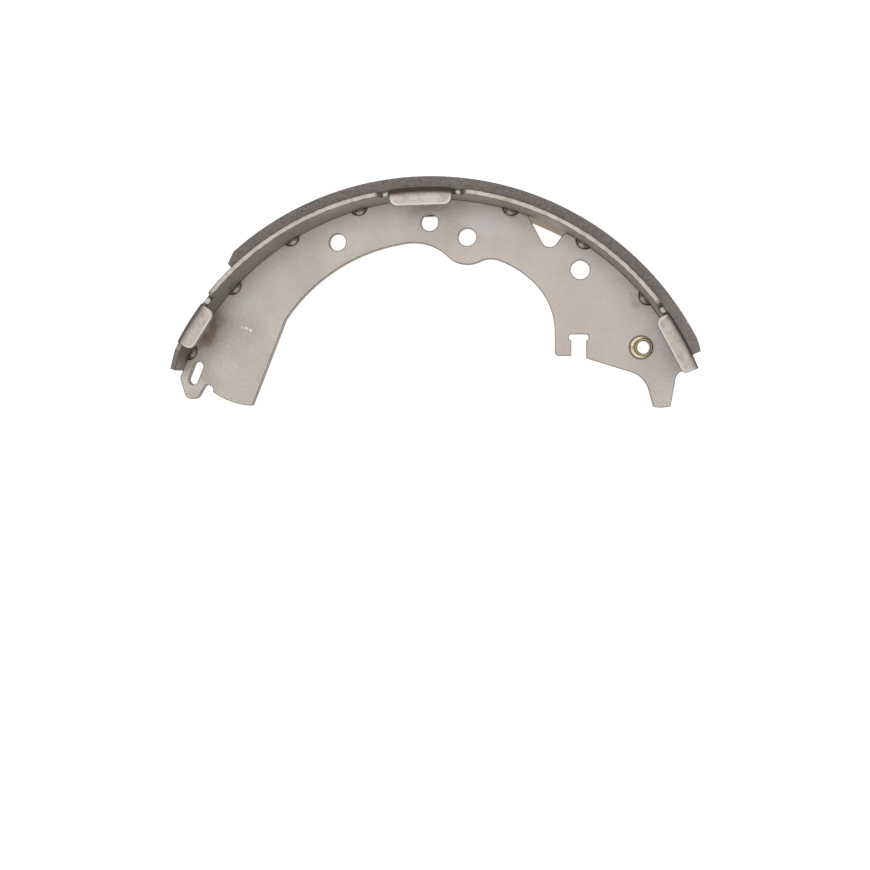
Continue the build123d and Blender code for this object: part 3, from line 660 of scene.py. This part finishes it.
class SteelFinish(bpy.types.PropertyGroup):
    """Colours of the steel parts."""

    web_light: colour_property("Web light", "Light patches of the web", "#C9C0B6")
    web_dark: colour_property("Web dark", "Dark patches of the web", "#BCB3A9")
    web_blue: colour_property("Web blue", "Bluish clouds of the web", "#CFCBCC")
    web_pale: colour_property("Web pale", "Wiped places of the web", "#D8D0C8")
    web_warm: colour_property("Web warm", "Warm clouds and rust dust of the web", "#C5B6AB")
    # Also the tone of the painted shadow under the crown tab
    heat_tan_and_shadow: colour_property("Heat tan", "Faint tint round the burnt place", "#A3907F")
    heat_brown: colour_property("Heat brown", "Brown tint from welding", "#7C6148")
    heat_red: colour_property("Heat red", "Reddish tint from welding", "#8A6757")
    smudge: colour_property("Smudge", "Smudges by the welds", "#77777C")
    # Soot, and painted shade in the weld notches
    soot_and_shade: colour_property("Soot", "Burnt steel at the welds", "#463D38")
    sheared_edge: colour_property("Sheared edge", "Line along a cut edge", "#4E433B")
    broken_edge: colour_property("Broken edge", "Lower part of a cut face", "#958D84")
    bare_nick: colour_property("Bare nick", "Fresh metal in a nick", "#F8F6F2")
    # The inner wall's colours, partly painted shade
    table_light: colour_property("Table light", "Light patches of the table's wall", "#AEA496")
    table_dark: colour_property("Table dark", "Dark patches of the table's wall", "#989082")
    window_tan: colour_property("Window tan", "The table's wall behind the window", "#967549")
    tab_light: colour_property("Tab light", "Light patches of tabs and edges", "#CAC1B9")
    tab_dark: colour_property("Tab dark", "Dark patches of tabs and edges", "#BEB4AC")
    tab_rub: colour_property("Tab rub", "Brownish rubbed places of tabs and edges", "#9F9083")
    # A painted highlight along the tabs' rims
    tab_crest: colour_property("Tab crest", "Burnished rims of the tabs", "#F0E9E0")
    toe_green: colour_property("Toe green", "Greenish oxide of the wall near the toe", "#7E8375")
    # Oxide and painted shade on the bends, and painted shade in the reliefs
    bend_oxide_and_shade: colour_property("Bend oxide", "Dark skin on the bends and in the reliefs", "#40372F")
    # Glue, and painted shade along the lining
    glue_and_shade: colour_property("Glue", "Baked adhesive along the lining", "#48342A")
    # Oxide and painted shade on the far tab
    far_oxide_and_shade: colour_property("Far oxide", "Brown oxide on the far tab", "#5E4B3A")
    dull_end: colour_property("Dull end", "The table's toe end", "#9A918A")
    relief_floor: colour_property("Relief floor", "Floor of the reliefs beside the tabs", "#C9CFC3")


class LiningFinish(bpy.types.PropertyGroup):
    """Colours of the friction lining."""

    side: colour_property("Side", "Moulded sides", "#918A84")
    face: colour_property("Face", "Ground outer face", "#A7A19C")
    grain: colour_property("Grain", "Dark grains", "#4E4844")
    fibre: colour_property("Fibre", "Pale fibres", "#AAA29A")
    pale_speck: colour_property("Pale speck", "Pale specks", "#D8D5D0")
    resin: colour_property("Resin", "Patches rich in resin", "#9A8684")
    fleck: colour_property("Fleck", "A chip on the edge near the heel", "#D6D2CC")


class BushFinish(bpy.types.PropertyGroup):
    """Colours of the bush."""

    # The ring is a painted highlight
    ring_radius: length_property("Ring radius", "Radius of the ring rubbed on the collar", 0.0041)
    gold: colour_property("Gold", "Yellow film", "#5E533C")
    pale: colour_property("Pale", "Thin film", "#83775A")
    tan: colour_property("Tan", "Film on the collar", "#726351")
    # A painted highlight on the collar
    collar_highlight: colour_property("Rubbed", "Bare zinc on the collar", "#BDB298")
    # Brown film, and painted shade on slopes, the collar's rim and its narrow side
    brown: colour_property("Brown", "Thick film in the hollows and on slopes", "#45392F")


class WeldFinish(bpy.types.PropertyGroup):
    """Sizes and colours of the weld nuggets."""

    radius: length_property("Radius", "Half a nugget's depth, from the table to the web", 0.00165)
    width: FloatProperty(
        name="Width", description="A nugget's width along the table, in radii", default=1.4, min=1
    )
    rise: length_property("Rise", "How far a nugget stands above the web", 0.0007)
    flash_gap: length_property("Flash gap", "How far the flash stays below the web's face", 0.0002)
    roughening: length_property("Roughening", "How uneven a nugget is", 0.00022)
    nugget: colour_property("Nugget", "Grey skin on a nugget's crown", "#BFB4AB")
    # Scale, and painted shade in the notch round the root
    scale: colour_property("Scale", "Dark scale round its root", "#80746B")


class StudioSetup(bpy.types.PropertyGroup):
    """Floor, light and camera."""

    floor_colour: colour_property("Floor", "Colour of the floor", "#C8C8C8")
    floor_size: length_property("Floor size", "Side of the floor", 4.0)
    focal_length: FloatProperty(
        name="Focal length", description="Lens in millimetres, on a 36 mm sensor", default=60.215, min=1
    )
    floor_lift: FloatProperty(
        name="Floor lift", description="How much whiter the floor looks than it lights", default=0.85, min=0
    )
    key_power: FloatProperty(
        name="Key light", description="Power of the overhead light", default=2.7, min=0, unit="POWER"
    )
    sky: FloatProperty(name="Surround", description="Light from all round", default=0.4, min=0)
    walls: FloatProperty(name="Walls", description="Brightness of reflected walls", default=0.35, min=0)


class ShoeLooks(bpy.types.PropertyGroup):
    """All settings of the brake shoe's looks."""

    steel: PointerProperty(type=SteelFinish)
    lining: PointerProperty(type=LiningFinish)
    bush: PointerProperty(type=BushFinish)
    welds: PointerProperty(type=WeldFinish)
    studio: PointerProperty(type=StudioSetup)


class FinishWeb(bpy.types.Operator):
    """Gives the web its steel"""

    bl_idname = "brake_shoe.finish_web"
    bl_label = "Finish web"

    def execute(self, context):
        dress("web", web_steel(context.scene.shoe_looks.steel))
        return {"FINISHED"}


class FinishTable(bpy.types.Operator):
    """Gives the table and its tabs their steel"""

    bl_idname = "brake_shoe.finish_table"
    bl_label = "Finish table"

    def execute(self, context):
        dress("table", table_steel(context.scene.shoe_looks.steel))
        return {"FINISHED"}


class FinishLining(bpy.types.Operator):
    """Gives the lining its friction material"""

    bl_idname = "brake_shoe.finish_lining"
    bl_label = "Finish lining"

    def execute(self, context):
        dress("lining", friction_block(context.scene.shoe_looks.lining))
        return {"FINISHED"}


class FinishBush(bpy.types.Operator):
    """Gives the bush for the parking lever its yellow zinc"""

    bl_idname = "brake_shoe.finish_bush"
    bl_label = "Finish bush"

    def execute(self, context):
        dress("pivot_bush", yellow_zinc(context.scene.shoe_looks.bush))
        return {"FINISHED"}


class BuildWelds(bpy.types.Operator):
    """Builds the weld nuggets between the web and the table"""

    bl_idname = "brake_shoe.build_welds"
    bl_label = "Build weld nuggets"

    def execute(self, context):
        settings = context.scene.shoe_looks.welds
        material = weld_metal(settings)
        bpy.ops.object.select_all(action="DESELECT")
        crown = around_drum(TABLE_INNER_RADIUS - WELD_DEPTH, 0)
        bpy.ops.mesh.primitive_uv_sphere_add(
            segments=24, ring_count=14, radius=settings.radius, location=crown
        )
        first = start_piece("weld_pattern")
        bpy.ops.transform.resize(value=(settings.width, 1, 1), center_override=crown)

        # The ball is drawn out into a column as tall as the web, with a domed end on each face
        stretch = WEB_TOP + settings.rise - settings.radius
        waist = settings.radius * 0.05
        for side in (1, -1):
            bpy.ops.mesh.select_all(action="DESELECT")
            bpy.ops.object.mode_set(mode="OBJECT")
            for vertex in first.data.vertices:
                vertex.select = side * vertex.co.z > waist
            bpy.ops.object.mode_set(mode="EDIT")
            bpy.ops.transform.translate(value=(0, 0, side * stretch))
        bpy.ops.mesh.select_all(action="SELECT")
        bpy.ops.transform.vertex_random(offset=settings.roughening, uniform=1.0, seed=3)
        bpy.ops.object.mode_set(mode="OBJECT")

        # Flash squeezed into the notch round the column, a low lumpy skirt that the table cuts off
        bpy.ops.object.select_all(action="DESELECT")
        notch = around_drum(TABLE_INNER_RADIUS + NOTCH_OFFSET, 0)
        depth = 2 * (WEB_TOP - settings.flash_gap)
        bpy.ops.mesh.primitive_cylinder_add(vertices=48, radius=NOTCH_RADIUS, depth=depth, location=notch)
        start_piece("weld_flash")
        cut = around_drum(TABLE_INNER_RADIUS, 0)
        bpy.ops.mesh.bisect(plane_co=cut, plane_no=(0, 1, 0), use_fill=True, clear_outer=True)
        bpy.ops.mesh.select_all(action="SELECT")
        bpy.ops.mesh.subdivide(number_cuts=2)
        bpy.ops.transform.vertex_random(offset=settings.roughening, uniform=1.0, seed=5)
        bpy.ops.object.mode_set(mode="OBJECT")
        first.select_set(True)
        bpy.context.view_layer.objects.active = first
        bpy.ops.object.join()
        rounding = first.modifiers.new("rounding", "SUBSURF")
        rounding.levels = 1
        rounding.render_levels = 1
        bpy.ops.object.modifier_apply(modifier=rounding.name)
        bpy.ops.object.shade_smooth_by_angle(angle=math.radians(50))
        bpy.ops.object.transform_apply(location=True, rotation=True, scale=True)
        first.data.materials.clear()
        first.data.materials.append(material)

        # A copy for each notch, with its own mesh, turned about the drum's axis
        to_axis = Matrix.Translation(DRUM_AXIS)
        for number, angle in enumerate(WELD_ANGLES, 1):
            mesh = first.data.copy()
            mesh.transform(to_axis @ Matrix.Rotation(math.radians(-angle), 4, "Z") @ to_axis.inverted())
            nugget = bpy.data.objects.new(f"weld_nugget_{number}", mesh)
            context.collection.objects.link(nugget)
            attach(nugget, "root")
            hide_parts("weld_beads")
        bpy.data.objects.remove(first)
        return {"FINISHED"}


class BuildStudio(bpy.types.Operator):
    """Builds the white floor, the soft light and the camera above"""

    bl_idname = "brake_shoe.build_studio"
    bl_label = "Build studio"

    def execute(self, context):
        settings = context.scene.shoe_looks.studio
        scene = context.scene
        scene.view_settings.view_transform = "Standard"

        # White paper floor under the shoe, with fibres drawn 3 mm long, coarser than real ones. The camera
        # and reflections see it whiter than it lights the shoe.
        bpy.ops.object.select_all(action="DESELECT")
        bpy.ops.mesh.primitive_plane_add(size=settings.floor_size, location=(0, 0, cad_box[0][2]))
        floor = start_piece("paper_floor")
        bpy.ops.object.mode_set(mode="OBJECT")
        bpy.ops.object.transform_apply(location=True, rotation=True, scale=True)
        material, tree, shader, place = start_material("floor_white_paper")[:4]
        rays = add_node(tree, "ShaderNodeLightPath", {}).outputs
        values = {"operation": "MAXIMUM", 0: rays["Is Camera Ray"], 1: rays["Is Glossy Ray"]}
        seen = add_node(tree, "ShaderNodeMath", values).outputs[0]
        values = {"operation": "MULTIPLY", 0: seen, 1: settings.floor_lift}
        lift = add_node(tree, "ShaderNodeMath", values).outputs[0]
        fibre = add_node(tree, "ShaderNodeTexNoise", {"Vector": place, "Scale": 300, "Detail": 3}).outputs[0]
        tone = add_node(tree, "ShaderNodeMapRange", {"Value": fibre, 3: 0.985, 4: 1.0}).outputs[0]
        values = {"data_type": "RGBA", "blend_type": "MULTIPLY", 0: 1.0, 6: settings.floor_colour, 7: tone}
        colour = add_node(tree, "ShaderNodeMix", values).outputs[2]
        tree.links.new(colour, shader.inputs["Base Color"])
        shader.inputs["Roughness"].default_value = 0.9
        shader.inputs["Emission Color"].default_value = WHITE
        tree.links.new(lift, shader.inputs["Emission Strength"])
        floor.data.materials.append(material)

        # Even light from all round, which is white where it is seen
        world = bpy.data.worlds.new("studio_surround")
        world.use_nodes = True
        scene.world = world
        tree = world.node_tree
        background = tree.nodes["Background"]
        rays = add_node(tree, "ShaderNodeLightPath", {}).outputs
        values = {"operation": "MAXIMUM", 0: rays["Is Camera Ray"], 1: rays["Is Glossy Ray"]}
        seen = add_node(tree, "ShaderNodeMath", values).outputs[0]
        strength = add_node(tree, "ShaderNodeMapRange", {"Value": seen, 3: settings.sky, 4: 1.0}).outputs[0]
        tree.links.new(strength, background.inputs["Strength"])

        # The studio's dim walls: reflections see the surround darker towards the horizon
        direction = add_node(tree, "ShaderNodeTexCoord", {}).outputs["Generated"]
        rise = add_node(tree, "ShaderNodeSeparateXYZ", {"Vector": direction}).outputs[2]
        values = {"Value": rise, 1: 0.15, 2: 0.75, 3: settings.walls, 4: 1.0}
        walls = add_node(tree, "ShaderNodeMapRange", values).outputs[0]
        values = {"data_type": "RGBA", 0: rays["Is Glossy Ray"], 6: WHITE, 7: walls}
        shade = add_node(tree, "ShaderNodeMix", values).outputs[2]
        tree.links.new(shade, background.inputs["Color"])

        # One large soft light overhead, a little towards the shoe's crown
        bpy.ops.object.light_add(type="AREA", location=SOFTBOX_PLACE)
        key = context.active_object
        key.name = "overhead_softbox"
        key.data.shape = "SQUARE"
        key.data.size = SOFTBOX_SIZE
        key.data.energy = settings.key_power
        key.rotation_euler = (-key.location).to_track_quat("-Z", "Y").to_euler()

        # The camera looks down on the shoe, with the shoe in the upper half of the picture
        camera_data = bpy.data.cameras.new("photo_camera")
        camera_data.sensor_width = SENSOR_WIDTH
        camera_data.lens = settings.focal_length
        camera_data.shift_x, camera_data.shift_y = CAMERA_SHIFT
        camera_data.clip_start = 0.01
        camera = bpy.data.objects.new("photo_camera", camera_data)
        scene.collection.objects.link(camera)
        camera.location = CAMERA_PLACE
        camera.rotation_euler = [math.radians(turn) for turn in CAMERA_TURN]
        scene.camera = camera
        return {"FINISHED"}


class ShoePanel(bpy.types.Panel):
    """Lists the steps of the brake shoe's looks"""

    bl_idname = "VIEW3D_PT_brake_shoe"
    bl_label = "Brake shoe"
    bl_space_type = "VIEW_3D"
    bl_region_type = "UI"
    bl_category = "Brake shoe"

    def draw(self, context):
        looks = context.scene.shoe_looks
        for operator, group in STEPS:
            self.layout.operator(operator.bl_idname)
            if group:
                box = self.layout.box()
                settings = getattr(looks, group)
                for name in settings.bl_rna.properties.keys():
                    if name not in ("rna_type", "name"):
                        box.prop(settings, name)


# Each step, with the settings that the panel lists under it
STEPS = (
    (BuildStudio, "studio"),
    (FinishWeb, "steel"),
    (FinishTable, None),
    (FinishLining, "lining"),
    (FinishBush, "bush"),
    (BuildWelds, "welds"),
)
FINISHES = (SteelFinish, LiningFinish, BushFinish, WeldFinish, StudioSetup, ShoeLooks)
CLASSES = (*FINISHES, *(operator for operator, group in STEPS), ShoePanel)


def register():
    for cls in CLASSES:
        bpy.utils.register_class(cls)
    bpy.types.Scene.shoe_looks = PointerProperty(type=ShoeLooks)


def unregister():
    del bpy.types.Scene.shoe_looks
    for cls in reversed(CLASSES):
        bpy.utils.unregister_class(cls)


def main():
    register()
    bpy.ops.brake_shoe.build_studio()
    bpy.ops.brake_shoe.finish_web()
    bpy.ops.brake_shoe.finish_table()
    bpy.ops.brake_shoe.finish_lining()
    bpy.ops.brake_shoe.finish_bush()
    bpy.ops.brake_shoe.build_welds()


if __name__ == "__main__":
    main()
